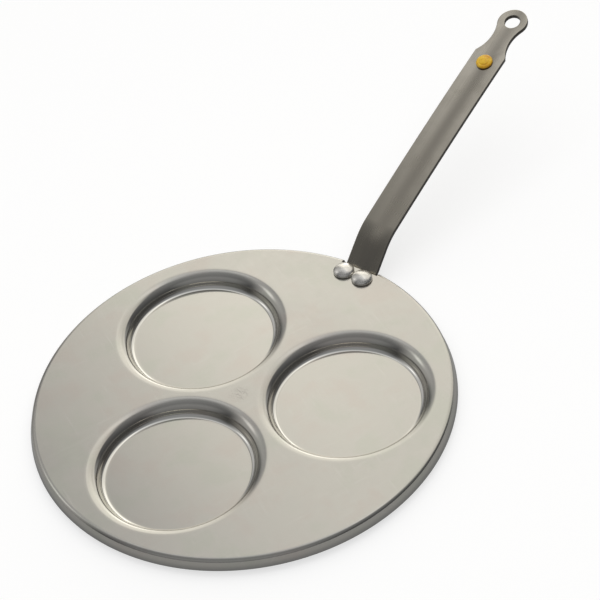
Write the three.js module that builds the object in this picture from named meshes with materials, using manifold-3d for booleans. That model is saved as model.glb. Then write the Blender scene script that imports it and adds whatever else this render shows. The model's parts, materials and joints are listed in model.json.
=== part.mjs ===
// A three-hole blini pan: a pressed steel plate with three wells, a riveted strip handle and a yellow button.
// Millimetres, +Z up, the handle runs along +Y, and the wells' undersides stand on z = 0.

import * as THREE from 'three';
import { mergeVertices } from 'three/addons/utils/BufferGeometryUtils.js';
import Module from 'manifold-3d';

// Pan plate, one pressed sheet
const sheetThickness = 2.5;
const rimInsideRadius = 0.5;
const rimSlope = THREE.MathUtils.degToRad(74);
const rimSkirt = 5.5;
const borderWidth = 12.4;

// Wells, drawn into the plate
const wellCount = 3;
const wellMouthDiameter = 112;
const wellDepth = 9.2;
const wellLipInsideRadius = 5.3;
const wellFilletRadius = 3.2;
const wellWallSlope = THREE.MathUtils.degToRad(78);
const webBetweenWells = 3.3;

// Notch in the rim, where the handle leaves
const notchPastBend = 1.2;
const notchSideGap = 2.25;

// Handle, one bent strip
const stripThickness = 3;
const stripWidth = 23.5;
const footFlare = 3.1;
const footBehindRivets = 9.75;
const footCornerRadius = 4;
const footFrontRadius = 3;
const footNeckLength = 4;
const legBendRadius = 2;
const legAngle = THREE.MathUtils.degToRad(42);
const legLength = 26.9;
const gripBendRadius = 40;
const gripAngle = THREE.MathUtils.degToRad(19.5);
const gripBowRadius = 2200;
const gripLength = 182.75;

// Neck and hanging eye at the handle's end
const neckHollow = 4.4;
const neckArcRadius = 26.4;
const eyeSwell = 3.2;
const eyeBand = 5.15;

// Rivets through the plate and the handle's foot
const rivetShankDiameter = 5;
const rivetHeadDiameter = 13.9;
const rivetHeadGap = 0.5;
const rivetHeadMargin = 0.3;
const rivetHeadSide = 2;
const rivetDomeHeight = 2.4;
const rivetTailLip = 2;
const rivetTailHeight = 2.2;
const rivetTailChamfer = 0.8;

// Button near the handle's end
const buttonDiameter = 11.6;
const buttonLip = 2.3;
const buttonSide = 1.4;
const buttonDomeHeight = 1.5;
const buttonToEye = 37.4;

// Clearances
const seatGap = 0.1;
const holeGap = 0.2;
const cutMargin = 10;

// Facets of the round surfaces
const rimFacets = 96;
const wellFacets = 48;
const smallFacets = 24;
const outerBendSteps = 4;
const innerBendSteps = 3;
const domeSteps = 5;
const gripSteps = 20;

// Sizes that follow from the driving dimensions
const quarterTurn = Math.PI / 2;
const wellMouthRadius = wellMouthDiameter / 2;
const wellCircleRadius = (wellMouthRadius + webBetweenWells / 2) / Math.sin(Math.PI / wellCount);
const plateRadius = wellCircleRadius + wellMouthRadius + borderWidth;
const plateTop = wellDepth + sheetThickness;
const plateUnderside = plateTop - sheetThickness;
const rimRadius = rimInsideRadius + sheetThickness;
const rimRun = rimRadius * Math.sin(rimSlope) + rimSkirt * Math.cos(rimSlope);
const notchEdge = plateRadius - rimRun - notchPastBend;
const notchWidth = stripWidth + 2 * notchSideGap;
const rivetSpacing = rivetHeadDiameter + rivetHeadGap;
const rivetInset = rivetHeadDiameter / 2 + rivetHeadMargin;
const rivetPlaceY = notchEdge - rivetInset;
const footTop = plateUnderside - seatGap;
const footLength = rivetInset + footBehindRivets;
const footWidth = stripWidth + 2 * footFlare;
const neckWidth = stripWidth - 2 * neckHollow;
const eyeDiameter = neckWidth + 2 * eyeSwell;
const eyeHoleDiameter = eyeDiameter - 2 * eyeBand;
const buttonStemDiameter = buttonDiameter - 2 * buttonLip;

const wasm = await Module();
wasm.setup();

// A closed three.js geometry as a solid that can be joined and cut.
function toSolid(geometry) {
  geometry.deleteAttribute('normal');
  geometry.deleteAttribute('uv');
  const merged = mergeVertices(geometry);
  const corners = merged.index.array;
  const kept = [];
  for (let i = 0; i < corners.length; i += 3) {
    const [a, b, c] = [corners[i], corners[i + 1], corners[i + 2]];
    if (a !== b && b !== c && c !== a) kept.push(a, b, c);
  }
  const vertProperties = new Float32Array(merged.attributes.position.array);
  const triVerts = new Uint32Array(kept);
  return new wasm.Manifold(new wasm.Mesh({ numProp: 3, vertProperties, triVerts }));
}

// A solid back as a three.js geometry with flat facets.
function toGeometry(solid) {
  const mesh = solid.getMesh();
  const geometry = new THREE.BufferGeometry();
  geometry.setAttribute('position', new THREE.BufferAttribute(new Float32Array(mesh.vertProperties), 3));
  geometry.setIndex(new THREE.BufferAttribute(new Uint32Array(mesh.triVerts), 1));
  geometry.computeVertexNormals();
  return geometry;
}

// A solid turned about the Z axis from a profile of radius and height.
function turned(profile, facets) {
  const geometry = new THREE.LatheGeometry(profile, facets);
  return toSolid(geometry.rotateX(quarterTurn));
}

// A plan outline raised along Z from one height to another, and placed by a matrix where one is given.
function raised(shape, low, high, place = new THREE.Matrix4()) {
  const geometry = new THREE.ExtrudeGeometry(shape, {
    depth: high - low,
    bevelEnabled: false,
    curveSegments: smallFacets / 2,
  });
  return toSolid(geometry.translate(0, 0, low).applyMatrix4(place));
}

// Points on an arc, both ends included.
function arc(centreX, centreY, radius, from, to, steps) {
  const points = [];
  for (let i = 0; i <= steps; i++) {
    const angle = from + ((to - from) * i) / steps;
    points.push(new THREE.Vector2(centreX + radius * Math.cos(angle), centreY + radius * Math.sin(angle)));
  }
  return points;
}

function disc(x, y, radius) {
  return new THREE.Shape().absarc(x, y, radius, 0, 2 * Math.PI, false);
}

function material(color, roughness, metalness) {
  return new THREE.MeshStandardMaterial({ color, roughness, metalness });
}

function piece(name, solid, look) {
  const mesh = new THREE.Mesh(toGeometry(solid), look);
  mesh.name = name;
  return mesh;
}

// The plate's flat disc and its turned-down rim, before the wells.
function plateBlank() {
  const bendCentre = plateRadius - rimRun;
  const bendHeight = plateTop - rimRadius;
  const bendEnd = quarterTurn - rimSlope;
  const skirt = new THREE.Vector2(Math.cos(rimSlope), -Math.sin(rimSlope)).multiplyScalar(rimSkirt);
  const inner = arc(bendCentre, bendHeight, rimInsideRadius, quarterTurn, bendEnd, innerBendSteps);
  const outer = arc(bendCentre, bendHeight, rimRadius, bendEnd, quarterTurn, outerBendSteps);
  return turned([
    new THREE.Vector2(0, plateUnderside),
    ...inner,
    inner.at(-1).clone().add(skirt),
    outer[0].clone().add(skirt),
    ...outer,
    new THREE.Vector2(0, plateTop),
  ], rimFacets);
}

// One face of a well from its floor to its mouth, set below the upper face by an offset.
// Lip and fillet share the depth, and shrink together where the well is too shallow for both.
function wellWall(offset, steps) {
  const lipRadius = wellLipInsideRadius + sheetThickness;
  const bendDepth = (lipRadius + wellFilletRadius) * (1 - Math.cos(wellWallSlope));
  const bendShare = Math.min(1, wellDepth / bendDepth);
  const lip = lipRadius * bendShare;
  const fillet = wellFilletRadius * bendShare;
  const wallRun = (wellDepth - bendDepth * bendShare) / Math.tan(wellWallSlope);
  const floorRadius = wellMouthRadius - (lip + fillet) * Math.sin(wellWallSlope) - wallRun;
  const filletHeight = plateTop - wellDepth + fillet;
  const wallAngle = wellWallSlope - quarterTurn;
  return [
    ...arc(floorRadius, filletHeight, fillet + offset, -quarterTurn, wallAngle, steps),
    ...arc(wellMouthRadius, plateTop - lip, lip - offset, wallAngle + Math.PI, quarterTurn, steps),
  ];
}

function wellOutside() {
  const middle = plateTop - sheetThickness / 2;
  return turned([
    new THREE.Vector2(0, 0),
    ...wellWall(sheetThickness, innerBendSteps),
    new THREE.Vector2(wellMouthRadius, middle),
    new THREE.Vector2(0, middle),
  ], wellFacets);
}

function wellInside() {
  const above = plateTop + cutMargin;
  return turned([
    new THREE.Vector2(0, sheetThickness),
    ...wellWall(0, outerBendSteps),
    new THREE.Vector2(wellMouthRadius, above),
    new THREE.Vector2(0, above),
  ], wellFacets);
}

// The wells stand evenly round the plate, with the handle midway between two of them.
function wellPlaces() {
  const places = [];
  for (let i = 0; i < wellCount; i++) {
    const angle = quarterTurn + ((i + 0.5) * 2 * Math.PI) / wellCount;
    places.push([wellCircleRadius * Math.cos(angle), wellCircleRadius * Math.sin(angle), 0]);
  }
  return places;
}

function rivetHoles(low, high) {
  const radius = rivetShankDiameter / 2 + holeGap;
  const left = raised(disc(-rivetSpacing / 2, rivetPlaceY, radius), low, high);
  return left.add(raised(disc(rivetSpacing / 2, rivetPlaceY, radius), low, high));
}

function rimNotch() {
  const outside = plateRadius + cutMargin;
  const shape = new THREE.Shape([
    new THREE.Vector2(-notchWidth / 2, notchEdge),
    new THREE.Vector2(notchWidth / 2, notchEdge),
    new THREE.Vector2(notchWidth / 2, outside),
    new THREE.Vector2(-notchWidth / 2, outside),
  ]);
  return raised(shape, -cutMargin, plateTop + cutMargin);
}

function panPlate() {
  let plate = plateBlank();
  const outside = wellOutside();
  const inside = wellInside();
  for (const place of wellPlaces()) plate = plate.add(outside.translate(place));
  for (const place of wellPlaces()) plate = plate.subtract(inside.translate(place));
  return plate.subtract(rimNotch()).subtract(rivetHoles(-cutMargin, plateTop + cutMargin));
}

// The strip's upper face as seen from the side: points of Y and Z with the slope there.
// It runs from the foot's end through both bends, along the bowed grip and past the eye.
function stripPath() {
  const stations = [];
  const spot = new THREE.Vector2(notchEdge - footLength, footTop);
  let slope = 0;
  const mark = () => stations.push({ spot: spot.clone(), slope });
  const run = (length) => {
    spot.add(new THREE.Vector2(Math.cos(slope), Math.sin(slope)).multiplyScalar(length));
    mark();
  };
  const bend = (radius, turn, steps) => {
    const chord = 2 * radius * Math.sin(Math.abs(turn) / (2 * steps));
    for (let i = 0; i < steps; i++) {
      slope += turn / (2 * steps);
      spot.add(new THREE.Vector2(Math.cos(slope), Math.sin(slope)).multiplyScalar(chord));
      slope += turn / (2 * steps);
      mark();
    }
  };
  const gripTurn = legAngle - gripAngle;
  const legTangent = legBendRadius * Math.tan(legAngle / 2);
  const gripTangent = gripBendRadius * Math.tan(gripTurn / 2);
  const bow = (length) => bend(gripBowRadius, -length / gripBowRadius, gripSteps);
  mark();
  run(footLength);
  bend(legBendRadius, legAngle, outerBendSteps);
  run(legLength - legTangent - gripTangent);
  bend(gripBendRadius, -gripTurn, domeSteps);
  bow(gripLength - gripTangent - buttonToEye);
  const button = stations.at(-1);
  bow(buttonToEye);
  const eye = stations.at(-1);
  run(eyeDiameter / 2 + cutMargin);
  return { stations, button, eye };
}

const strip = stripPath();
const eyeTip = strip.eye.spot.x
  + (eyeDiameter / 2) * Math.cos(strip.eye.slope)
  + stripThickness * Math.sin(strip.eye.slope);

// A matrix that carries X, Y, Z to across, along and up from the strip's upper face at a station.
function stationFrame(station) {
  const along = new THREE.Vector3(0, Math.cos(station.slope), Math.sin(station.slope));
  const up = new THREE.Vector3(0, -Math.sin(station.slope), Math.cos(station.slope));
  const across = new THREE.Vector3(1, 0, 0);
  return new THREE.Matrix4().makeBasis(across, along, up).setPosition(0, station.spot.x, station.spot.y);
}

// The bent strip at the foot's width, swept across from its side view.
function stripBlank() {
  const upper = strip.stations.map(({ spot }) => spot.clone());
  const lower = strip.stations.map(({ spot, slope }) => {
    const down = new THREE.Vector2(Math.sin(slope), -Math.cos(slope));
    return spot.clone().addScaledVector(down, stripThickness);
  });
  const sideView = new THREE.Shape([...upper, ...lower.reverse()]);
  const across = new THREE.Matrix4().makeBasis(
    new THREE.Vector3(0, 1, 0),
    new THREE.Vector3(0, 0, 1),
    new THREE.Vector3(1, 0, 0),
  );
  return raised(sideView, -footWidth / 2, footWidth / 2, across);
}

// The strip's outline from above: a wider foot with round corners, then the even width of leg and grip.
function stripPlan() {
  const footEnd = notchEdge - footLength;
  const footFront = notchEdge - footNeckLength;
  const half = footWidth / 2;
  const halfStrip = stripWidth / 2;
  const far = eyeTip + cutMargin;
  const back = footCornerRadius;
  const front = footFrontRadius;
  const shape = new THREE.Shape();
  shape.moveTo(-half + back, footEnd);
  shape.lineTo(half - back, footEnd);
  shape.absarc(half - back, footEnd + back, back, -quarterTurn, 0, false);
  shape.lineTo(half, footFront - front);
  shape.absarc(half - front, footFront - front, front, 0, quarterTurn, false);
  shape.lineTo(halfStrip, footFront);
  shape.lineTo(halfStrip, far);
  shape.lineTo(-halfStrip, far);
  shape.lineTo(-halfStrip, footFront);
  shape.lineTo(-half + front, footFront);
  shape.absarc(-half + front, footFront - front, front, quarterTurn, Math.PI, false);
  shape.lineTo(-half, footEnd + back);
  shape.absarc(-half + back, footEnd + back, back, Math.PI, 3 * quarterTurn, false);
  return raised(shape, -cutMargin, strip.eye.spot.y + eyeDiameter + cutMargin);
}

// The end's outline in the strip's own plane, about the eye's centre: the eye, a neck between two hollow arcs
// that run smoothly into the eye, and a wide stretch that leaves the rest of the strip as it is.
function eyePlan() {
  const eyeRadius = eyeDiameter / 2;
  const arcAcross = neckWidth / 2 + neckArcRadius;
  const arcAlong = -Math.sqrt((neckArcRadius + eyeRadius) ** 2 - arcAcross ** 2);
  const meeting = Math.atan2(arcAlong, arcAcross);
  const shoulder = Math.acos((arcAcross - stripWidth / 2) / neckArcRadius);
  const wide = stripWidth / 2 + cutMargin;
  const shoulderAlong = arcAlong - neckArcRadius * Math.sin(shoulder);
  const back = -(legLength + gripLength + footLength);
  const shape = new THREE.Shape();
  shape.moveTo(wide, back);
  shape.lineTo(wide, shoulderAlong);
  shape.absarc(arcAcross, arcAlong, neckArcRadius, Math.PI + shoulder, Math.PI + meeting, true);
  shape.absarc(0, 0, eyeRadius, meeting, Math.PI - meeting, false);
  shape.absarc(-arcAcross, arcAlong, neckArcRadius, -meeting, -shoulder, true);
  shape.lineTo(-wide, shoulderAlong);
  shape.lineTo(-wide, back);
  const reach = legLength + gripLength;
  return raised(shape, -reach, reach, stationFrame(strip.eye));
}

function stripHole(station, diameter) {
  const depth = stripThickness + cutMargin;
  return raised(disc(0, 0, diameter / 2), -depth, cutMargin, stationFrame(station));
}

function handleStrip() {
  const bar = stripBlank().intersect(stripPlan()).intersect(eyePlan());
  return bar
    .subtract(stripHole(strip.eye, eyeHoleDiameter))
    .subtract(stripHole(strip.button, buttonStemDiameter + 2 * holeGap))
    .subtract(rivetHoles(-cutMargin, plateTop));
}

// A domed head on a short straight side, from its rim to the axis.
function dome(radius, base, side, height) {
  const sphere = (radius ** 2 + height ** 2) / (2 * height);
  const start = Math.asin((sphere - height) / sphere);
  return arc(0, base + side + height - sphere, sphere, start, quarterTurn, domeSteps)
    .map(({ x, y }, i) => new THREE.Vector2(i === domeSteps ? 0 : x, y));
}

function rivet(x) {
  const shank = rivetShankDiameter / 2;
  const tail = shank + rivetTailLip;
  const head = rivetHeadDiameter / 2;
  const headBase = plateTop + seatGap;
  const tailTop = footTop - stripThickness - seatGap;
  const tailBottom = tailTop - rivetTailHeight;
  const solid = turned([
    new THREE.Vector2(0, tailBottom),
    new THREE.Vector2(tail - rivetTailChamfer, tailBottom),
    new THREE.Vector2(tail, tailBottom + rivetTailChamfer),
    new THREE.Vector2(tail, tailTop),
    new THREE.Vector2(shank, tailTop),
    new THREE.Vector2(shank, headBase),
    new THREE.Vector2(head, headBase),
    ...dome(head, headBase, rivetHeadSide, rivetDomeHeight),
  ], smallFacets);
  return solid.translate([x, rivetPlaceY, 0]);
}

function handleButton() {
  const radius = buttonDiameter / 2;
  const stem = buttonStemDiameter / 2;
  const solid = turned([
    new THREE.Vector2(0, -stripThickness),
    new THREE.Vector2(stem, -stripThickness),
    new THREE.Vector2(stem, seatGap),
    new THREE.Vector2(radius, seatGap),
    ...dome(radius, seatGap, buttonSide, buttonDomeHeight),
  ], smallFacets);
  return solid.transform(stationFrame(strip.button).elements);
}

const satinSteel = material(0xc3beb2, 0.35, 1);
const darkSteel = material(0x8c867b, 0.45, 1);
const brightSteel = material(0xcfcdc6, 0.25, 1);
const goldenEnamel = material(0xdfa51f, 0.3, 0);

// The group is set so that its origin lies on the table, under the middle of the pan's overall length.
const pan = new THREE.Group();
pan.position.y = (plateRadius - eyeTip) / 2;
pan.add(
  piece('pan_plate', panPlate(), satinSteel),
  piece('handle_strip', handleStrip(), darkSteel),
  piece('rivet_left', rivet(-rivetSpacing / 2), brightSteel),
  piece('rivet_right', rivet(rivetSpacing / 2), brightSteel),
  piece('handle_button', handleButton(), goldenEnamel),
);

export default pan;
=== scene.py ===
# %% [markdown]
# # A pan for three blini
# This lesson dresses a measured pan: a pressed steel plate with three round wells, a bent strip handle,
# two rivets and a golden button. The measured solids hold the sizes and the weight, and their surfaces
# are faceted. Here each piece gets a smooth surface and a finish. Everything is in metres and in the
# frame of the solids, so nothing has to be fitted by eye: what the solids tell is read from them, and
# only what they can't tell is written here again.

import json
import math

import bmesh
import bpy
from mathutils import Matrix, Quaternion, Vector
from mathutils.geometry import delaunay_2d_cdt


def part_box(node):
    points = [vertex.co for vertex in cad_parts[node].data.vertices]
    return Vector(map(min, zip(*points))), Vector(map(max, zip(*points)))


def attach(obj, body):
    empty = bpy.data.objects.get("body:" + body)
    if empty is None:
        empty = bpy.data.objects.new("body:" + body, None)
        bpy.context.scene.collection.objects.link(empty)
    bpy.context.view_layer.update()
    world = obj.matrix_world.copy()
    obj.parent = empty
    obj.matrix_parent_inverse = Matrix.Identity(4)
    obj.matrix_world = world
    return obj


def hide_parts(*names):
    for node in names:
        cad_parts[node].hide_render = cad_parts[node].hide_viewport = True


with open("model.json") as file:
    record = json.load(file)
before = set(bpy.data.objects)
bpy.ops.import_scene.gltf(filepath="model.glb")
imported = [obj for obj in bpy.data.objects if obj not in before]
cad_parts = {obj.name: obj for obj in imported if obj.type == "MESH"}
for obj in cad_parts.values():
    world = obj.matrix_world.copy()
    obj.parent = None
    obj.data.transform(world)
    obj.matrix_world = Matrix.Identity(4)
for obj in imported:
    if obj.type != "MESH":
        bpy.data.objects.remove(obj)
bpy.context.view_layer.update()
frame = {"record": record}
mm = 0.001

# %% [markdown]
# ## The camera
# The pan is seen from above its right front, about halfway up the sky, and the camera is tipped a little
# to one side. A camera can be placed by hand in the viewport, but here the place, the aim and the tip
# were worked out from the ellipses of the rim and the wells, so they are written as numbers. The lens is
# long, so the ellipses stay true.

# %% Place the camera
camera_place = Vector((0.67876, -0.77727, 1.00187))
camera_aim = Vector((-0.01704, -0.0141, 0.0117))
camera_tip = math.radians(-9.19)
camera_lens = 132.05
camera_sensor = 36

camera = bpy.data.objects.new("camera", bpy.data.cameras.new("camera"))
bpy.context.scene.collection.objects.link(camera)
bpy.context.scene.camera = camera
camera.data.lens = camera_lens
camera.data.sensor_width = camera_sensor
camera.location = camera_place
camera.rotation_mode = "QUATERNION"
upright = (camera_aim - camera_place).to_track_quat("-Z", "Y")
camera.rotation_quaternion = upright @ Quaternion((0, 0, 1), camera_tip)
print("The camera is", round((camera_aim - camera_place).length, 3), "m from its aim")

# %% [markdown]
# ## Sheet metal, the way it is made
# The plate and the handle both start as flat sheet: an outline is cut, holes are punched, and then the
# sheet is bent. A mesh can follow the same steps. A flat face is filled between its outline and its
# holes, its points are moved to their bent places, and a Solidify modifier gives the sheet its gauge.
# Bevel eases the cut edges and Weighted Normal keeps the flat parts flat in the light. A box with holes
# cut by booleans would also do, but its long thin faces shade badly on a metal that mirrors a studio.

# %% Arcs and loops of points
quarter_turn = 90
half_turn = 180
full_turn = 360


def arc(centre_x, centre_y, radius, start, end, steps):
    """Points of an arc from one angle to another, in degrees, both ends included."""
    turns = [math.radians(start + (end - start) * i / steps) for i in range(steps + 1)]
    return [Vector((centre_x + radius * math.cos(t), centre_y + radius * math.sin(t))) for t in turns]


def circle(centre, radius, steps, clockwise=False):
    """A closed loop of points, anticlockwise unless it is told otherwise."""
    end = -full_turn if clockwise else full_turn
    return arc(centre[0], centre[1], radius, 0, end, steps)[:-1]


def inset(loop, distance):
    """A closed loop of points moved to its left by a distance."""
    moved = []
    for i, point in enumerate(loop):
        along = (loop[(i + 1) % len(loop)] - loop[i - 1]).normalized()
        moved.append(point + distance * Vector((-along.y, along.x)))
    return moved


print("Arcs and loops are drawn in degrees,", full_turn, "to a turn")

# %% Fill a flat sheet
weld = 0.0001 * mm
fill_inside = 1


def join(mesh, row, next_row, closed):
    """Quads between two rows of points."""
    count = len(row)
    for i in range(count if closed else count - 1):
        j = (i + 1) % count
        mesh.faces.new((row[i], row[j], next_row[j], next_row[i]))


def flat_sheet(outline, holes, band, lattice=()):
    """A flat face inside an outline, without its holes: quads along each edge, triangles between."""
    sheet = bmesh.new()
    points = list(lattice)
    edges = []
    owners = [None] * len(points)
    for number, loop in enumerate([outline, *holes]):
        inner = inset(loop, band)
        rows = [[sheet.verts.new((*point, 0)) for point in line] for line in (loop, inner)]
        join(sheet, *rows, closed=True)
        first = len(points)
        points += inner
        owners += [number] * len(inner)
        edges += [(first + i, first + (i + 1) % len(inner)) for i in range(len(inner))]
    spots, _, triangles, sources, *_ = delaunay_2d_cdt(points, edges, [], fill_inside, weld)
    corners = [sheet.verts.new((*spot, 0)) for spot in spots]
    for triangle in triangles:
        touched = {owners[sources[i][0]] for i in triangle}
        if len(touched) > 1 or touched & {None, 0}:
            sheet.faces.new([corners[i] for i in triangle])
    bmesh.ops.remove_doubles(sheet, verts=sheet.verts, dist=weld)
    return sheet


print("Points closer than", weld / mm, "mm are welded")

# %% From a sheet to a piece
bevel_segments = 3
sharp_edge = math.radians(50)


def as_piece(name, mesh):
    """A smooth object from a finished bmesh, linked to the scene."""
    bmesh.ops.recalc_face_normals(mesh, faces=mesh.faces)
    for face in mesh.faces:
        face.smooth = True
    data = bpy.data.meshes.new(name)
    mesh.to_mesh(data)
    mesh.free()
    piece = bpy.data.objects.new(name, data)
    bpy.context.scene.collection.objects.link(piece)
    return piece


def give_gauge(piece, gauge, eased):
    """Thickness below the drawn face, eased edges, and shading that keeps flat faces flat."""
    thickness = piece.modifiers.new("gauge", "SOLIDIFY")
    thickness.thickness = gauge
    thickness.offset = -1
    thickness.use_even_offset = True
    edges = piece.modifiers.new("eased edges", "BEVEL")
    edges.width = eased
    edges.segments = bevel_segments
    edges.limit_method = "ANGLE"
    edges.angle_limit = sharp_edge
    shading = piece.modifiers.new("flat stays flat", "WEIGHTED_NORMAL")
    shading.keep_sharp = True


print("Edges sharper than", round(math.degrees(sharp_edge)), "degrees are eased")

# %% [markdown]
# ## The pressed plate
# One round of sheet is pressed: three wells go down into it, and its rim turns down all round, over a
# small bend into a short sloping skirt. A straight notch in the rim lets the handle out, and two holes
# take the rivets. The flat web comes first, filled between the rim and the wells' mouths. The wells and
# the rim are then turned rings of points that start on the same loops, so the bends run into the flat
# without a seam. Sculpting would be slower, and the bends would waver.

# %% Sizes of the plate
plate_low, plate_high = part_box("pan_plate")
plate_radius = plate_high.x
plate_top = plate_high.z
pan_axis = Vector((0, plate_low.y + plate_radius))
sheet_gauge = 2.5 * mm
plate_ease = 0.3 * mm
plate_edge_band = 1.2 * mm
print("The plate is", round(2 * plate_radius / mm, 1), "mm across")

# %% The rim and its notch
rim_radius = 3 * mm
rim_slope = math.radians(74)
rim_skirt = 5.5 * mm
rim_run = rim_radius * math.sin(rim_slope) + rim_skirt * math.cos(rim_slope)
rim_steps = 480
rim_bend_steps = 14
notch_half_width = 14 * mm
notch_past_bend = 1.2 * mm
notch_edge = plate_radius - rim_run - notch_past_bend
notch_steps = 12


def rim_ring(radius):
    """Points round the rim at one radius, from one side of the notch to the other."""
    gap = math.degrees(math.asin(notch_half_width / radius))
    start = quarter_turn + gap
    end = quarter_turn + full_turn - gap
    return arc(pan_axis.x, pan_axis.y, radius, start, end, rim_steps)


def rim_profile():
    """Radius and height from the notch's corners, over the bend and down the sloping skirt."""
    corner = Vector((math.hypot(notch_half_width, notch_edge), plate_top))
    end = quarter_turn - math.degrees(rim_slope)
    centre = (plate_radius - rim_run, plate_top - rim_radius)
    bend = arc(*centre, rim_radius, quarter_turn, end, rim_bend_steps)
    return [corner, *bend, bend[-1] + rim_skirt * Vector((math.cos(rim_slope), -math.sin(rim_slope)))]


print("The rim ends", round((plate_top - rim_profile()[-1].y) / mm, 1), "mm below the plate's top")

# %% The wells
well_mouth = 56 * mm
well_lip = 7.8 * mm
well_fillet = 3.2 * mm
well_slope = 78
well_depth = plate_top - sheet_gauge
well_floor = plate_top - well_depth
well_steps = 160
well_bend_steps = 14
floor_shares = (0.97, 0.8, 0.5, 0.2)
well_centres = [Vector(mount["pos_m"][:2]) for mount in frame["record"]["mounts"]]


def well_profile():
    """Radius and height from a well's mouth, over its lip, down its wall and into its floor."""
    lean = quarter_turn - well_slope
    slope = math.radians(well_slope)
    bends = well_lip + well_fillet
    wall_run = (well_depth - bends * (1 - math.cos(slope))) / math.tan(slope)
    floor_radius = well_mouth - bends * math.sin(slope) - wall_run
    lip_centre = (well_mouth, plate_top - well_lip)
    fillet_centre = (floor_radius, well_floor + well_fillet)
    lip = arc(*lip_centre, well_lip, quarter_turn, half_turn - lean, well_bend_steps)
    fillet = arc(*fillet_centre, well_fillet, -lean, -quarter_turn, well_bend_steps)
    flat = [Vector((floor_radius * share, well_floor)) for share in floor_shares]
    return [*lip, *fillet, *flat]


floor_edge = well_profile()[-len(floor_shares) - 1]
print("Each of", len(well_centres), "wells has a floor", round(2 * floor_edge.x / mm, 1), "mm across")

# %% The rivets' holes
rivet_shank = 2.5 * mm
hole_room = 0.2 * mm
rivet_hole = rivet_shank + hole_room
rivet_hole_steps = 24
rivet_boxes = {name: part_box(name) for name in ("rivet_left", "rivet_right")}
rivet_centres = {name: ((low + high) / 2).xy for name, (low, high) in rivet_boxes.items()}
print("The rivets' holes are", round(2 * rivet_hole / mm, 1), "mm across")


# %% Press the plate
def flat_web():
    """The flat part of the plate between its rim, its wells and its rivet holes."""
    across = [notch_half_width * (1 - 2 * i / notch_steps) for i in range(1, notch_steps)]
    outline = rim_ring(rim_profile()[0].x) + [Vector((x, pan_axis.y + notch_edge)) for x in across]
    mouths = [circle(centre, well_mouth, well_steps, clockwise=True) for centre in well_centres]
    spots = rivet_centres.values()
    holes = [circle(centre, rivet_hole, rivet_hole_steps, clockwise=True) for centre in spots]
    web = flat_sheet(outline, mouths + holes, plate_edge_band)
    bmesh.ops.translate(web, vec=(0, 0, plate_top), verts=web.verts)
    return web


def press_well(plate, centre):
    """One well's rings of points, from its mouth to the middle of its floor."""
    rows = [[plate.verts.new((*point, height)) for point in circle(centre, radius, well_steps)]
            for radius, height in well_profile()]
    for row, next_row in zip(rows, rows[1:]):
        join(plate, row, next_row, closed=True)
    middle = plate.verts.new((*centre, well_floor))
    for point, next_point in zip(rows[-1], rows[-1][1:] + rows[-1][:1]):
        plate.faces.new((point, next_point, middle))


def pressed_plate():
    """The plate's upper face: the flat web, the rim and the three wells."""
    plate = flat_web()
    rows = [[plate.verts.new((*point, height)) for point in rim_ring(radius)]
            for radius, height in rim_profile()]
    for row, next_row in zip(rows, rows[1:]):
        join(plate, row, next_row, closed=False)
    for centre in well_centres:
        press_well(plate, centre)
    bmesh.ops.remove_doubles(plate, verts=plate.verts, dist=weld)
    return as_piece("pressed_plate", plate)


plate = pressed_plate()
give_gauge(plate, sheet_gauge, plate_ease)
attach(plate, "root")
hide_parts("pan_plate")
print("The pressed plate has", len(plate.data.polygons), "faces on its upper side")

# %% [markdown]
# ## The bent handle
# The handle is one strip of steel. It is cut flat, with a wider foot, a long grip, a waist and a round
# eye, and then it is bent twice: up where it leaves the plate, and back a little where the grip begins.
# The mesh does the same. Its points lie on a flat outline, across and along, and one function carries
# them to their places on the bent line. The strip isn't quite flat across: a faint wave in it draws soft
# stripes of light along the grip, so the points are lifted by a shallow sine before they are bent. A
# curve with a taper could make the strip too, but not the eye and the holes.

# %% Sizes of the foot and the leg
strip_gauge = 3 * mm
strip_half = 11.75 * mm
seat_gap = 0.1 * mm
foot_length = 17 * mm
foot_half = 14.85 * mm
foot_back_corner = 4 * mm
foot_front_corner = 3 * mm
foot_neck = 4 * mm
foot_top = plate_top - sheet_gauge - seat_gap
foot_start = pan_axis.y + notch_edge - foot_length
leg_bend_radius = 2 * mm
leg_angle = math.radians(42)
leg_length = 26.9 * mm
leg_tangent = leg_bend_radius * math.tan(leg_angle / 2)
print("The leg rises at", round(math.degrees(leg_angle), 1), "degrees")

# %% Sizes of the grip and the eye
grip_bend_radius = 40 * mm
grip_angle = math.radians(19.5)
grip_turn = leg_angle - grip_angle
grip_tangent = grip_bend_radius * math.tan(grip_turn / 2)
grip_bow_radius = 2200 * mm
grip_length = 182.75 * mm
grip_run = grip_length - grip_tangent
button_to_eye = 37.4 * mm
eye_radius = 10.55 * mm
neck_half = 7.35 * mm
neck_radius = 26.4 * mm
neck_across = neck_half + neck_radius
neck_back = math.sqrt((neck_radius + eye_radius) ** 2 - neck_across ** 2)
neck_reach = neck_back + math.sqrt(neck_radius ** 2 - (neck_across - strip_half) ** 2)
print("The grip rises at", round(math.degrees(grip_angle), 1), "degrees")

# %% The bent line
strip_runs = [
    (foot_length, 0),
    (leg_bend_radius * leg_angle, leg_angle),
    (leg_length - leg_tangent - grip_tangent, 0),
    (grip_bend_radius * grip_turn, -grip_turn),
    (grip_run, -grip_run / grip_bow_radius),
    (eye_radius, 0),
]
eye_along = sum(length for length, turn in strip_runs[:-1])
button_along = eye_along - button_to_eye


def strip_spot(along):
    """Place in Y and Z on the strip's upper face, and its slope, at a distance from the foot's end."""
    spot = Vector((foot_start, foot_top))
    slope = 0
    for length, turn in strip_runs:
        part = min(along, length)
        swing = turn * part / length
        half = swing / 2
        chord = part * (math.sin(half) / half if half else 1)
        spot += chord * Vector((math.cos(slope + half), math.sin(slope + half)))
        slope += swing
        along -= part
        if along <= 0:
            break
    return spot, slope


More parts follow.
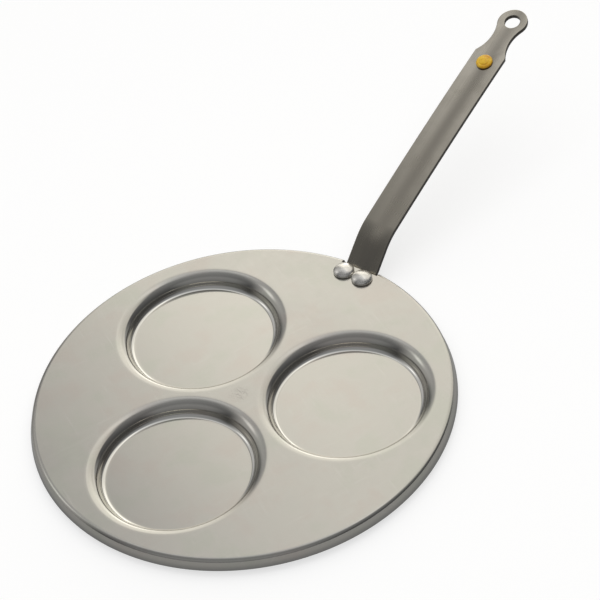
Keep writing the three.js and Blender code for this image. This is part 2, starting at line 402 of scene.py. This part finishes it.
def bent(across, along, above=0):
    """A point of the flat strip carried to its place on the bent one."""
    spot, slope = strip_spot(along)
    return Vector((across, spot.x - above * math.sin(slope), spot.y + above * math.cos(slope)))


print("The eye's centre is at", [round(v / mm, 1) for v in bent(0, eye_along)], "mm")

# %% The flat outline
run_steps = (6, 8, 6, 12, 42)
foot_steps = 4
corner_steps = 6
neck_steps = 16
eye_steps = 30
shoulder_clear = 1 * mm


def strip_rows():
    """Distances along the strip at which it has a row of points: close together in the bends."""
    rows = []
    start = 0
    for (length, turn), count in zip(strip_runs, run_steps):
        rows += [start + length * i / count for i in range(count)]
        start += length
    return rows


def strip_outline():
    """The strip's edge before bending, anticlockwise from the middle of the foot's end."""
    meeting = math.degrees(math.atan2(-neck_back, neck_across))
    shoulder = math.degrees(math.acos((neck_across - strip_half) / neck_radius))
    foot_front = foot_length - foot_neck
    inner = foot_half - foot_back_corner
    outer = foot_half - foot_front_corner
    outer_along = foot_front - foot_front_corner
    straight_end = eye_along - neck_reach - shoulder_clear
    neck_turns = (half_turn + shoulder, half_turn + meeting)
    side = [Vector((inner * i / foot_steps, 0)) for i in range(foot_steps)]
    side += arc(inner, foot_back_corner, foot_back_corner, -quarter_turn, 0, corner_steps)
    side += arc(outer, outer_along, foot_front_corner, 0, quarter_turn, corner_steps)
    side += [Vector((strip_half, row)) for row in strip_rows() if foot_front < row < straight_end]
    side += arc(neck_across, eye_along - neck_back, neck_radius, *neck_turns, neck_steps)
    side += arc(0, eye_along, eye_radius, meeting, quarter_turn, eye_steps)[1:]
    mirrored = [Vector((-point.x, point.y)) for point in side[-2:0:-1]]
    return side + mirrored


print("The outline has", len(strip_outline()), "points")

# %% Points inside the outline
half_columns = 8
strip_edge_band = 0.8 * mm
strip_clear = 1.6 * mm


def strip_lattice(outline, holes):
    """Points inside the strip, in rows up to its shoulders, clear of its edges and its holes."""
    columns = [strip_half * (i / half_columns - 1) for i in range(1, 2 * half_columns)]
    spots = [Vector((across, along)) for along in strip_rows() for across in columns]
    spots = [spot for spot in spots if strip_clear < spot.y < eye_along - neck_reach]
    for centre, radius in holes:
        spots = [spot for spot in spots if (spot - centre).length > radius + strip_clear]
    return [spot for spot in spots if min((spot - point).length for point in outline) > strip_clear]


print("A plain strip would take", len(strip_lattice(strip_outline(), [])), "points inside")

# %% Bend the handle
strip_ease = 0.35 * mm
strip_ripple = 0.28 * mm
strip_wave = 24 * mm
strip_wave_start = -10 * mm
eye_hole = 5.4 * mm
button_hole = 3.7 * mm
strip_hole_steps = 48


def ripple(across, along):
    """Height of the faint wave across the strip, none at the foot and the eye."""
    from_foot = max(0, (along - foot_length) / leg_length)
    from_eye = max(0, (eye_along - along) / neck_reach)
    grown = min(1, from_foot, from_eye)
    return -strip_ripple * grown * math.sin(math.tau * (across - strip_wave_start) / strip_wave)


def bent_handle():
    """The strip's upper face, filled flat with its holes, rippled a little across and then bent."""
    foot_end = Vector((0, foot_start))
    holes = [(Vector((0, eye_along)), eye_hole), (Vector((0, button_along)), button_hole)]
    holes += [(centre - foot_end, rivet_hole) for centre in rivet_centres.values()]
    outline = strip_outline()
    loops = [circle(centre, radius, strip_hole_steps, clockwise=True) for centre, radius in holes]
    strip = flat_sheet(outline, loops, strip_edge_band, strip_lattice(outline, holes))
    for vert in strip.verts:
        across, along = vert.co.xy
        vert.co = bent(across, along, ripple(across, along))
    return as_piece("bent_handle", strip)


handle = bent_handle()
give_gauge(handle, strip_gauge, strip_ease)
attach(handle, "root")
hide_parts("handle_strip")
print("The bent handle has", len(handle.data.polygons), "faces on its upper side")

# %% [markdown]
# ## Rivets and button
# A rivet is round everywhere, so it is turned: a profile of radius and height, swept once round its axis.
# Its head is a low dome with a short side, its shank goes through both sheets, and its tail is hammered
# into a squat disc under the foot. The button is turned too, with a plain shallow ring sunk into its top,
# and then tilted to lie on the grip. A sphere cut in half would be quicker, but a real head meets its
# side in a small round, and that round is what catches the light.

# %% Turn a solid
turned_steps = 64


def turned(name, profile):
    """A solid of revolution from a profile of radius and height that starts and ends on the axis."""
    mesh = bmesh.new()
    rows = [[mesh.verts.new((*point, height)) for point in circle((0, 0), radius, turned_steps)]
            for radius, height in profile[1:-1]]
    for row, next_row in zip(rows, rows[1:]):
        join(mesh, row, next_row, closed=True)
    for row, end in ((rows[0], profile[0]), (rows[-1], profile[-1])):
        tip = mesh.verts.new((0, 0, end.y))
        for i in range(turned_steps):
            mesh.faces.new((row[i], row[i - 1], tip))
    return as_piece(name, mesh)


print("Turned pieces have", turned_steps, "steps round")

# %% The profile of a head
dome_steps = 40
dome_ease = 8
straight_share = 0.5
shoulder_steps = 6


def domed(radius, base, side, height):
    """A domed head from the foot of its side to its top, with the corner between them rounded."""
    sphere = (radius ** 2 + height ** 2) / (2 * height)
    centre = base + side + height - sphere
    low = math.degrees(math.asin((sphere - height) / sphere))
    top = arc(0, centre, sphere, low + dome_ease, quarter_turn, dome_steps)
    top[-1].x = 0
    foot = [Vector((radius, base)), Vector((radius, base + side * straight_share))]
    corner = Vector((radius, base + side))
    shoulder = []
    for i in range(1, shoulder_steps):
        t = i / shoulder_steps
        shoulder.append(foot[-1] * (1 - t) ** 2 + corner * 2 * t * (1 - t) + top[0] * t ** 2)
    return foot + shoulder + top


print("A head's dome begins", dome_ease, "degrees in from its corner")

# %% Set the rivets
rivet_head = 6.95 * mm
rivet_head_side = 2 * mm
rivet_dome = 2.4 * mm
rivet_tail = 4.5 * mm
rivet_tail_height = 2.2 * mm
rivet_tail_chamfer = 0.8 * mm


def rivet_profile(low, high):
    """From the tail's end, up the shank and over the head, between two heights."""
    head_base = high - rivet_head_side - rivet_dome
    tail_top = low + rivet_tail_height
    tail = [Vector((0, low)), Vector((rivet_tail - rivet_tail_chamfer, low))]
    tail += [Vector((rivet_tail, low + rivet_tail_chamfer)), Vector((rivet_tail, tail_top))]
    shank = [Vector((rivet_shank, tail_top)), Vector((rivet_shank, head_base))]
    return tail + shank + domed(rivet_head, head_base, rivet_head_side, rivet_dome)


def set_rivet(solid, name):
    """One rivet in the place of its solid."""
    low, high = rivet_boxes[solid]
    rivet = turned(name, rivet_profile(low.z, high.z))
    rivet.location = (*rivet_centres[solid], 0)
    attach(rivet, "root")
    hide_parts(solid)
    return rivet


rivets = [set_rivet("rivet_left", "left_rivet"), set_rivet("rivet_right", "right_rivet")]
print("The rivets' heads are", round(2 * rivet_head / mm, 1), "mm across")

# %% Press in the button
button_radius = 5.8 * mm
button_stem = 3.5 * mm
button_side = 1.4 * mm
button_dome = 1.5 * mm
button_ring = 3.7 * mm
button_ring_width = 0.45 * mm
button_ring_depth = 0.3 * mm


def button_profile():
    """From the stem's end, up to the head and over its dome, above the strip's upper face."""
    stem = [Vector((0, -strip_gauge)), Vector((button_stem, -strip_gauge))]
    stem.append(Vector((button_stem, seat_gap)))
    head = domed(button_radius, seat_gap, button_side, button_dome)
    for point in head:
        aside = (point.x - button_ring) / button_ring_width
        point.y -= button_ring_depth * math.exp(-aside * aside)
    return stem + head


def pressed_button():
    """The button, tilted to the strip's slope where it sits."""
    button = turned("golden_button", button_profile())
    spot, slope = strip_spot(button_along)
    button.location = (0, spot.x, spot.y)
    button.rotation_euler.x = slope
    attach(button, "root")
    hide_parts("handle_button")
    return button


button = pressed_button()
print("The button is", round(2 * button_radius / mm, 1), "mm across")

# %% [markdown]
# ## Finishes from nodes
# Every finish here is grown by nodes from the place of a point on its piece, in metres, so a streak has
# the same real width everywhere and no picture file or unwrapping is needed. A painted texture would show
# the same, but it would have one fixed sharpness. A few small helpers keep the node trees readable: they
# make a node, do sums, turn one range into another, mix colours, and grow grain.

# %% Make and join nodes
mix_colours = (0, 6, 7)
mix_result = 2


def node(tree, kind, inputs=None, **settings):
    """One shader node, whose inputs are values or the outputs of other nodes."""
    made = tree.nodes.new("ShaderNode" + kind)
    for name, value in settings.items():
        setattr(made, name, value)
    for socket, value in (inputs or {}).items():
        if isinstance(value, bpy.types.NodeSocket):
            tree.links.new(value, made.inputs[socket])
        else:
            made.inputs[socket].default_value = value
    return made


def sums(tree, operation, *values):
    """One step of arithmetic on numbers or outputs."""
    return node(tree, "Math", dict(enumerate(values)), operation=operation).outputs[0]


def vector_sum(tree, operation, first, second, output="Value"):
    """One step of arithmetic on two vectors, which gives a number unless another output is named."""
    return node(tree, "VectorMath", {0: first, 1: second}, operation=operation).outputs[output]


def ranged(tree, value, limits, results=(0, 1), course="SMOOTHSTEP"):
    """A value between two limits, turned into another pair of limits, smoothly unless told otherwise."""
    inputs = {"Value": value, "From Min": limits[0], "From Max": limits[1]}
    inputs.update({"To Min": results[0], "To Max": results[1]})
    return node(tree, "MapRange", inputs, interpolation_type=course).outputs[0]


def mixed(tree, share, first, second, way="MIX"):
    """One colour that turns into another as a share goes from 0 to 1, by a Mix node's colour sockets."""
    inputs = dict(zip(mix_colours, (share, first, second)))
    return node(tree, "Mix", inputs, data_type="RGBA", blend_type=way).outputs[mix_result]


print("Helpers for sums and colours are ready")


# %% Grow grain and make a finish
def grain(tree, width, length=None, detail=3, turn=0):
    """Cloudy noise with grains so wide in X and so long in Y and Z, turned about the upright."""
    place = node(tree, "TexCoord").outputs["Object"]
    turning = {"Vector": place, "Rotation": (0, 0, math.radians(turn))}
    turned_place = node(tree, "Mapping", turning).outputs[0]
    along = length or width
    stretching = {"Vector": turned_place, "Scale": (1 / width, 1 / along, 1 / along)}
    stretched = node(tree, "Mapping", stretching).outputs[0]
    return node(tree, "TexNoise", {"Vector": stretched, "Scale": 1, "Detail": detail}).outputs["Fac"]


def raised(tree, height, depth, under=None):
    """A normal that is tipped by a height between 0 and 1, so many metres deep."""
    bump = node(tree, "Bump", {"Height": height, "Distance": depth, "Strength": 1})
    if under is not None:
        tree.links.new(under, bump.inputs["Normal"])
    return bump.outputs[0]


def finish(name, **sockets):
    """A new material with some of its shader's sockets set, its tree and its shader."""
    look = bpy.data.materials.new(name)
    look.use_nodes = True
    shader = look.node_tree.nodes["Principled BSDF"]
    for socket, value in sockets.items():
        shader.inputs[socket.replace("_", " ")].default_value = value
    return look, look.node_tree, shader


def drive(tree, shader, colour, roughness, normal):
    """Join a finish's colour, roughness and normal to its shader."""
    for socket, output in (("Base Color", colour), ("Roughness", roughness), ("Normal", normal)):
        tree.links.new(output, shader.inputs[socket])


print("Helpers for grain and finishes are ready")

# %% [markdown]
# ## Satin steel
# The plate is bare carbon steel. Its light is soft because the rolls left fine lines in the sheet, and
# its warm grey drifts a little towards rose and towards green. A few thin scratches cross it, and one
# small spot between the wells is scuffed. The press has burnished all that it drew down below the flat
# web. A painted highlight, a brighter colour, lies on the round at the wells' floors, and painted shade
# darkens the rim's skirt towards its edge, standing in for the shadowed floor that it mirrors. The shader
# is a plain metal: noise changes its colour, its roughness and, very slightly, its normal, and the
# burnish, the painted highlight and the painted shade on the skirt are found by height, the skirt also by
# its distance from the pan's axis. A brushed look by anisotropy would be too strong here: the real plate
# mirrors the studio about equally in all directions.

# %% A warm grey that drifts
steel_colour = (0.615, 0.6, 0.56, 1)
steel_rosy = (0.615, 0.583, 0.543, 1)
steel_green = (0.594, 0.593, 0.542, 1)
tint_size = 26 * mm
tint_detail = 4
tint_turn = 40
rosy_limits = (0.5, 0.68)
green_limits = (0.5, 0.32)


def tinted_steel(tree):
    """Warm grey with rosy patches and greenish ones."""
    tints = grain(tree, tint_size, detail=tint_detail, turn=tint_turn)
    colour = mixed(tree, ranged(tree, tints, rosy_limits), steel_colour, steel_rosy)
    return mixed(tree, ranged(tree, tints, green_limits), colour, steel_green)


print("The grey drifts over about", round(tint_size / mm), "mm")

# %% Scratches and one scuffed spot
steel_scratched = (0.72, 0.71, 0.68, 1)
scratch_width = 0.28 * mm
scratch_length = 26 * mm
scratch_detail = 1
scratch_limits = (0.68, 0.75)
steel_scuffed = (0.36, 0.35, 0.33, 1)
scuff_spot = Vector((-0.001, -0.101, plate_top))
scuff_reach = 9 * mm
scuff_core = 0.2 * scuff_reach
scuff_strength = 0.9
scuff_grain = 0.6 * mm
scuff_detail = 2
scuff_limits = (0.52, 0.66)


def scratches(tree, turn):
    """Thin, sparse lines in one direction: the tops of a noise that is stretched far."""
    return ranged(tree, grain(tree, scratch_width, scratch_length, scratch_detail, turn), scratch_limits)


def scuffs(tree, place):
    """Fine dark specks that thin out away from one spot."""
    away = vector_sum(tree, "DISTANCE", place, scuff_spot)
    specks = ranged(tree, grain(tree, scuff_grain, detail=scuff_detail), scuff_limits)
    fading = ranged(tree, away, (scuff_core, scuff_reach), (scuff_strength, 0))
    return sums(tree, "MULTIPLY", specks, fading)


print("The scuffed spot reaches", round(scuff_reach / mm), "mm")

# %% A painted highlight in the corners and painted shade on the skirt
# painted highlight: a brighter colour laid on the round at the wells' floors
steel_painted_highlight = (0.88, 0.87, 0.83, 1)
corner_highlight_start = (0.02 * mm, 0.1 * mm)
corner_highlight_end = (0.6 * mm, 1.6 * mm)
# painted shade: the skirt's colour darkens towards its edge, for the shadowed floor that it mirrors
skirt_painted_shade = (0.37, 0.37, 0.36, 1)
skirt_shade_heights = (plate_top - 7.4 * mm, plate_top - 3 * mm)
skirt_shade_strength = 0.9
level_only = (1, 1, 0)


def corner_highlight(tree, height):
    """Where a painted highlight lies on the round between a well's floor and its wall."""
    rise = sums(tree, "SUBTRACT", height, well_floor)
    start = ranged(tree, rise, corner_highlight_start)
    return sums(tree, "MULTIPLY", start, ranged(tree, rise, corner_highlight_end, (1, 0)))


def skirt_shade(tree, place, height):
    """How much painted shade darkens the rim's skirt, from its bend down to its edge."""
    level = vector_sum(tree, "MULTIPLY", place, level_only, "Vector")
    away = vector_sum(tree, "DISTANCE", level, (*pan_axis, 0))
    on_rim = sums(tree, "GREATER_THAN", away, plate_radius - rim_run)
    return sums(tree, "MULTIPLY", on_rim, ranged(tree, height, skirt_shade_heights, (skirt_shade_strength, 0)))


print("The skirt darkens from", round((plate_top - skirt_shade_heights[1]) / mm, 1), "mm below the plate's top")

# %% Make satin steel
cloud_size = 42 * mm
cloud_depth = 0.02 * mm
cloud_limits = (0.45, 0.9)
speck_size = 5 * mm
speck_share = 0.35
roll_line = 0.5 * mm
roll_length = 60 * mm
roll_detail = 2
roll_depth = 0.0008 * mm
roll_roughness = 0.04
scratch_turns = (24, -63)
scratch_strength = 0.4
satin_roughness = (0.16, 0.21)
burnish_heights = (plate_top - 2.5 * mm, plate_top - 0.3 * mm)
burnish_share = 0.4


def satin_colour(tree, place, height):
    """Tinted steel with scratches, a scuffed spot, painted shade on the skirt and painted corner
    highlights.
    """
    marks = sums(tree, "MAXIMUM", *[scratches(tree, turn) for turn in scratch_turns])
    colour = tinted_steel(tree)
    colour = mixed(tree, sums(tree, "MULTIPLY", marks, scratch_strength), colour, steel_scratched)
    colour = mixed(tree, scuffs(tree, place), colour, steel_scuffed)
    colour = mixed(tree, skirt_shade(tree, place, height), colour, skirt_painted_shade)
    return mixed(tree, corner_highlight(tree, height), colour, steel_painted_highlight)


def satin_steel():
    """Bare pressed steel, dulled by rolling lines and clouds and burnished where it was drawn."""
    look, tree, shader = finish("satin_steel", Metallic=1)
    place = node(tree, "TexCoord").outputs["Object"]
    height = node(tree, "SeparateXYZ", {0: place}).outputs["Z"]
    clouds = grain(tree, cloud_size)
    lines = grain(tree, roll_line, roll_length, roll_detail)
    cloudy = sums(tree, "MULTIPLY_ADD", grain(tree, speck_size), speck_share, clouds)
    dull = ranged(tree, cloudy, cloud_limits, satin_roughness)
    dull = sums(tree, "MULTIPLY_ADD", lines, roll_roughness, dull)
    drawn = ranged(tree, height, burnish_heights, (burnish_share, 1))
    normal = raised(tree, clouds, cloud_depth, raised(tree, lines, roll_depth))
    drive(tree, shader, satin_colour(tree, place, height), sums(tree, "MULTIPLY", dull, drawn), normal)
    return look


plate.data.materials.append(satin_steel())
print("The plate's finish has", len(plate.data.materials[0].node_tree.nodes), "nodes")

# %% [markdown]
# ## Dark strip steel with painted shade
# The handle is the same kind of steel, with its lines along its length. Its colour is painted darker near
# the plate and lighter towards the eye, a painted darker band wanders along its middle, and its cut edges
# are painted nearly black: this is painted shade and painted reflection of the dim room and the shadowed
# floor that the strip mirrors. The shader fades one colour into another along the strip, lays the band
# over it by distance from the middle, and finds the cut edges by which way a face looks: the strip's own
# faces look up or down, and its edges look aside. A painted mask would do the same by hand.

# %% Colours along the strip
# painted shade: the strip is painted darker near the plate and lighter towards the eye; the darker colour
# also tints random streaks
strip_shade_and_streak = (0.38, 0.353, 0.298, 1)
strip_lighter_end = (0.665, 0.62, 0.535, 1)
# painted reflection: a darker band along the strip's middle
strip_painted_band = (0.33, 0.305, 0.265, 1)
# painted reflection: the strip's edges, which face aside, are painted nearly black
strip_edge_shade = (0.09, 0.083, 0.075, 1)
strip_shade_limits = (30 * mm, 225 * mm)
painted_band_middle = 2 * mm
painted_band_half = 9 * mm
painted_band_wander = 3 * mm
painted_band_strength = 0.75
streak_limits = (0.6, 1.1)
streak_strength = 0.5
edge_shade_limits = (0.4, 0.68)


def strip_colour(tree, smudges, streaked):
    """Painted shade near the plate, lightening along the strip, a painted band, smudges and painted dark
    edges.
    """
    coordinates = node(tree, "TexCoord").outputs
    place = node(tree, "SeparateXYZ", {0: coordinates["Object"]}).outputs
    facing = node(tree, "SeparateXYZ", {0: coordinates["Normal"]}).outputs["Z"]
    unshaded = ranged(tree, place["Y"], strip_shade_limits, course="LINEAR")
    wander = sums(tree, "MULTIPLY_ADD", smudges, painted_band_wander, painted_band_middle - painted_band_wander / 2)
    aside = sums(tree, "ABSOLUTE", sums(tree, "SUBTRACT", place["X"], wander))
    band = ranged(tree, aside, (0, painted_band_half), (painted_band_strength, 0))
    edge_shade = ranged(tree, sums(tree, "ABSOLUTE", facing), edge_shade_limits, (1, 0))
    colour = mixed(tree, unshaded, strip_shade_and_streak, strip_lighter_end)
    colour = mixed(tree, band, colour, strip_painted_band)
    colour = mixed(tree, ranged(tree, streaked, streak_limits, (0, streak_strength)), colour, strip_shade_and_streak)
    return mixed(tree, edge_shade, colour, strip_edge_shade)


print("The strip is clean from", round(strip_shade_limits[1] / mm), "mm along Y")

# %% Make dark strip steel
smudge_size = 16 * mm
smudge_depth = 0.02 * mm
strip_line = 0.45 * mm
strip_line_length = 45 * mm
strip_line_detail = 2
strip_line_depth = 0.002 * mm
strip_line_share = 0.5
strip_dull_limits = (0.45, 1.05)
strip_roughness = (0.2, 0.29)


def dark_steel():
    """Strip steel with lines along it and smudges that dull it."""
    look, tree, shader = finish("dark_steel", Metallic=1)
    smudges = grain(tree, smudge_size)
    lines = grain(tree, strip_line, strip_line_length, strip_line_detail)
    streaked = sums(tree, "MULTIPLY_ADD", lines, strip_line_share, smudges)
    roughness = ranged(tree, streaked, strip_dull_limits, strip_roughness)
    normal = raised(tree, smudges, smudge_depth, raised(tree, lines, strip_line_depth))
    drive(tree, shader, strip_colour(tree, smudges, streaked), roughness, normal)
    return look


handle.data.materials.append(dark_steel())
print("The handle's finish has", len(handle.data.materials[0].node_tree.nodes), "nodes")

# %% [markdown]
# ## Bright rivet steel
# A rivet's head is struck, so its dome is bright and not quite even: shallow hammer marks bend what it
# mirrors. Where it meets the plate a thin dark line of painted shade lies on its colour. The marks are a
# coarse noise in the normal, and the painted shade is found by height, since each rivet's own up is the
# world's. Modelled facets would look harder than the real soft marks.

# %% Make bright rivet steel
rivet_colour = (0.88, 0.86, 0.815, 1)
# painted shade: a dark colour at the foot of each rivet's head, where it meets the plate
rivet_foot_shade = (0.16, 0.145, 0.12, 1)
rivet_shade_height = 0.6 * mm
rivet_shade_waver = 0.5 * mm
rivet_shade_strength = 0.85
rivet_speck = 0.9 * mm
rivet_speck_limits = (0.3, 0.8)
rivet_roughness = (0.21, 0.3)
hammer_mark = 3.4 * mm
hammer_detail = 1
hammer_depth = 0.09 * mm


def bright_steel():
    """Struck, polished steel with hammer marks and painted shade round its foot."""
    look, tree, shader = finish("bright_steel", Metallic=1)
    marks = grain(tree, hammer_mark, detail=hammer_detail)
    specks = grain(tree, rivet_speck)
    height = node(tree, "SeparateXYZ", {0: node(tree, "TexCoord").outputs["Object"]}).outputs["Z"]
    low = sums(tree, "MULTIPLY_ADD", specks, rivet_shade_waver, plate_top)
    above = sums(tree, "SUBTRACT", height, low)
    foot_shade = ranged(tree, above, (0, rivet_shade_height), (rivet_shade_strength, 0))
    roughness = ranged(tree, specks, rivet_speck_limits, rivet_roughness)
    colour = mixed(tree, foot_shade, rivet_colour, rivet_foot_shade)
    drive(tree, shader, colour, roughness, raised(tree, marks, hammer_depth))
    return look


rivet_finish = bright_steel()
for rivet in rivets:
    rivet.data.materials.append(rivet_finish)
print("The rivets' finish has", len(rivet_finish.node_tree.nodes), "nodes")

# %% [markdown]
# ## Golden button
# The button is a glossy golden yellow. Its colour is a little deeper in soft patches, as in a coloured
# lacquer, and the lacquer is a clear coat over the colour. Handling has dulled it in specks, and low on its
# side painted shade turns it dark brown, which the shader finds by height above the strip. A bare plastic
# with one colour would look like a sweet; the coat, the specks and the painted shade make it look like a
# part.

# %% Make the golden lacquer
golden = (0.93, 0.58, 0.035, 1)
golden_deep = (0.72, 0.33, 0.004, 1)
# painted shade: dark brown low on the button's side
golden_foot_shade = (0.16, 0.06, 0.006, 1)
golden_shade_heights = (0.3 * button_side, 1.1 * button_side)
golden_shade_strength = 0.8
lacquer_patch = 4 * mm
lacquer_patch_limits = (0.4, 0.75)
lacquer_speck = 0.7 * mm
lacquer_speck_limits = (0.35, 0.75)
lacquer_speck_depth = 0.01 * mm
lacquer_roughness = (0.26, 0.4)
lacquer_coat = {"Coat_Weight": 0.6, "Coat_Roughness": 0.06, "Specular_IOR_Level": 0.3}


def golden_lacquer():
    """Golden yellow under a clear coat, deeper in patches and dulled in specks."""
    look, tree, shader = finish("golden_lacquer", **lacquer_coat)
    patches = ranged(tree, grain(tree, lacquer_patch), lacquer_patch_limits)
    specks = grain(tree, lacquer_speck)
    height = node(tree, "SeparateXYZ", {0: node(tree, "TexCoord").outputs["Object"]}).outputs["Z"]
    # painted shade: the colour turns dark brown low on the button's side
    foot_shade = ranged(tree, height, golden_shade_heights, (golden_shade_strength, 0))
    colour = mixed(tree, foot_shade, mixed(tree, patches, golden, golden_deep), golden_foot_shade)
    roughness = ranged(tree, specks, lacquer_speck_limits, lacquer_roughness)
    drive(tree, shader, colour, roughness, raised(tree, specks, lacquer_speck_depth))
    return look


button.data.materials.append(golden_lacquer())
print("The button's finish has", len(button.data.materials[0].node_tree.nodes), "nodes")

# %% [markdown]
# ## The studio
# Metal shows little of its own: it mirrors the room. So the room is built with care, as a photographer
# would light steel. It is dim, darkest low down and lighter towards its ceiling. Beyond the pan stands a
# tall soft window, with a lower one and a small bright core in it. A glow with a core of its own is at
# the left, a faint low light at the far right reaches into the wells, another faint one fills in from
# behind the camera, and a slim one is overhead. Area lamps could stand for them, but windows drawn on the
# world itself are the same from every spot on the pan, so the mirror in the plate stays calm. Each window
# is a rectangle on a far flat wall, with a soft edge, set by where it is and how far it reaches, as
# tangents of the angle from its middle.

# %% The windows
windows = {
    "far": {"bearing": -26.7, "rise": 19.6, "lean": -33, "reach": (0.576, 1.85), "soft": (0.13, 1.2),
            "light": (0.645, 0.618, 0.557, 1)},
    "far and low": {"bearing": -34.3, "rise": 16, "lean": -15, "reach": (0.364, 0.53), "soft": (0.12, 0.16),
                    "light": (0.42, 0.407, 0.371, 1)},
    "far core": {"bearing": -32.4, "rise": 11, "lean": 0, "reach": (0.12, 0.14), "soft": (0.09, 0.09),
                 "light": (0.9, 0.88, 0.83, 1)},
    "left glow": {"bearing": -102, "rise": 25, "lean": -40, "reach": (0.42, 0.8), "soft": (0.25, 0.6),
                  "light": (0.36, 0.355, 0.345, 1)},
    "left core": {"bearing": -104, "rise": 37, "lean": -15, "reach": (0.1, 0.16), "soft": (0.09, 0.14),
                  "light": (0.7, 0.693, 0.675, 1)},
    "far right": {"bearing": 0, "rise": 10, "lean": 0, "reach": (0.42, 0.2), "soft": (0.25, 0.19),
                  "light": (0.3, 0.297, 0.29, 1)},
    "behind": {"bearing": 158, "rise": 24, "lean": 0, "reach": (0.9, 0.45), "soft": (0.45, 0.3),
               "light": (0.15, 0.15, 0.152, 1)},
    "overhead": {"bearing": -32.4, "rise": 73, "lean": -55, "reach": (0.1, 0.42), "soft": (0.36, 0.1),
                 "light": (0.652, 0.652, 0.652, 1)},
}
print("The room has", len(windows), "soft windows")

# %% One window on the world
least_depth = 0.05


def within(tree, gaze, axis, depth, reach, soft):
    """1 where a direction passes within a reach of a window's middle line, and 0 beyond its soft edge."""
    aside = sums(tree, "ABSOLUTE", vector_sum(tree, "DOT_PRODUCT", gaze, axis))
    return ranged(tree, sums(tree, "DIVIDE", aside, depth), (reach - soft, reach + soft), (1, 0))


def window_share(tree, gaze, bearing, rise, lean, reach, soft):
    """How much of a window lies in a direction."""
    turn = math.radians(bearing)
    level = Vector((math.cos(turn), -math.sin(turn), 0))
    ahead = Quaternion(level, math.radians(rise)) @ Vector((math.sin(turn), math.cos(turn), 0))
    tilt = Quaternion(ahead, -math.radians(lean))
    axes = (tilt @ level, tilt @ level.cross(ahead))
    depth = vector_sum(tree, "DOT_PRODUCT", gaze, ahead)
    share = sums(tree, "GREATER_THAN", depth, least_depth)
    depth = sums(tree, "MAXIMUM", depth, least_depth)
    for axis, half, edge in zip(axes, reach, soft):
        share = sums(tree, "MULTIPLY", share, within(tree, gaze, axis, depth, half, edge))
    return share


print("A window ends where its wall is nearly edge on, at a depth of", least_depth)

# %% Light the room
room_low = (0.042, 0.043, 0.045, 1)
room_high = (0.255, 0.258, 0.265, 1)
room_climb = 2
black = (0, 0, 0, 1)


def room_light(tree):
    """The dim room and all its windows, by direction."""
    gaze = node(tree, "TexCoord").outputs["Generated"]
    height = node(tree, "SeparateXYZ", {0: gaze}).outputs["Z"]
    upward = sums(tree, "POWER", sums(tree, "MAXIMUM", height, 0), room_climb)
    light = mixed(tree, upward, room_low, room_high)
    for window in windows.values():
        placing = {name: value for name, value in window.items() if name != "light"}
        glow = mixed(tree, window_share(tree, gaze, **placing), black, window["light"])
        light = mixed(tree, 1, light, glow, "ADD")
    return light


world = bpy.data.worlds.new("studio")
bpy.context.scene.world = world
world.use_nodes = True
sky = world.node_tree
studio_light = room_light(sky)
print("The studio's light has", len(sky.nodes), "nodes")

# %% [markdown]
# ## White behind the pan
# The pan lies on a white floor with only a faint shadow. A real photographer would light the floor more
# than the pan. Here the floor and the empty sky are white by themselves, but only to the rays that come
# straight from the camera, with a small share for mirrors and glass, so their white adds little light to
# the pan. Light Path tells the rays apart. The floor still takes the pan's shadow, because under its own
# white it is an ordinary pale surface.

# %% White sky
white = (1, 1, 1, 1)
sky_white = 1
mirrored_sky = 0.04


def white_share(tree, seen, mirrored):
    """A share of white for the camera's own rays, and a smaller one for mirrors and glass."""
    path = node(tree, "LightPath").outputs
    others = sums(tree, "MAXIMUM", path["Is Glossy Ray"], path["Is Transmission Ray"])
    return sums(tree, "MULTIPLY_ADD", others, mirrored, sums(tree, "MULTIPLY", path["Is Camera Ray"], seen))


sky_colour = mixed(sky, white_share(sky, sky_white, mirrored_sky), studio_light, white)
sky.links.new(sky_colour, sky.nodes["Background"].inputs["Color"])
print("Mirrors see", mirrored_sky, "of the sky's white")

# %% White floor
floor_white = 0.68
mirrored_floor = 0.05
floor_colour = (0.4, 0.4, 0.4, 1)
floor_half = 40
floor_drop = 0.2 * mm
floor_signs = ((-1, -1), (1, -1), (1, 1), (-1, 1))

floor_sockets = {"Base_Color": floor_colour, "Emission_Color": white, "Roughness": 1}
floor_look, floor_tree, floor_shader = finish("white_floor", Specular_IOR_Level=0, **floor_sockets)
floor_glow = white_share(floor_tree, floor_white, mirrored_floor)
floor_tree.links.new(floor_glow, floor_shader.inputs["Emission Strength"])
floor_corners = [(x * floor_half, y * floor_half, 0) for x, y in floor_signs]
floor_mesh = bpy.data.meshes.new("floor")
floor_mesh.from_pydata(floor_corners, [], [range(len(floor_corners))])
floor_mesh.materials.append(floor_look)
floor = bpy.data.objects.new("floor", floor_mesh)
bpy.context.scene.collection.objects.link(floor)
floor.location.z = -floor_drop
print("The floor is", 2 * floor_half, "m wide")

# %% [markdown]
# ## A soft lamp from above
# The windows are enough for the steel, but a painted thing such as the button would look dull under them.
# One large lamp above fills in. It is hidden from mirrors, so the steel doesn't show its square. Brighter
# windows would also lift the button, and would burn out the plate.

# %% Hang the lamp
lamp_height = 1.6
lamp_side = 2.4
lamp_power = 16

lamp = bpy.data.objects.new("soft_lamp", bpy.data.lights.new("soft_lamp", "AREA"))
lamp.data.size = lamp_side
lamp.data.energy = lamp_power
lamp.location.z = lamp_height
lamp.visible_glossy = False
bpy.context.scene.collection.objects.link(lamp)
bpy.context.scene.view_settings.view_transform = "Standard"
print("The lamp hangs", lamp_height, "m up")

# %% [markdown]
# ## The last update
# A smooth surface mustn't make the pan bigger than its solids. At the end the view layer is brought up
# to date.

# %% Finish
bpy.context.view_layer.update()
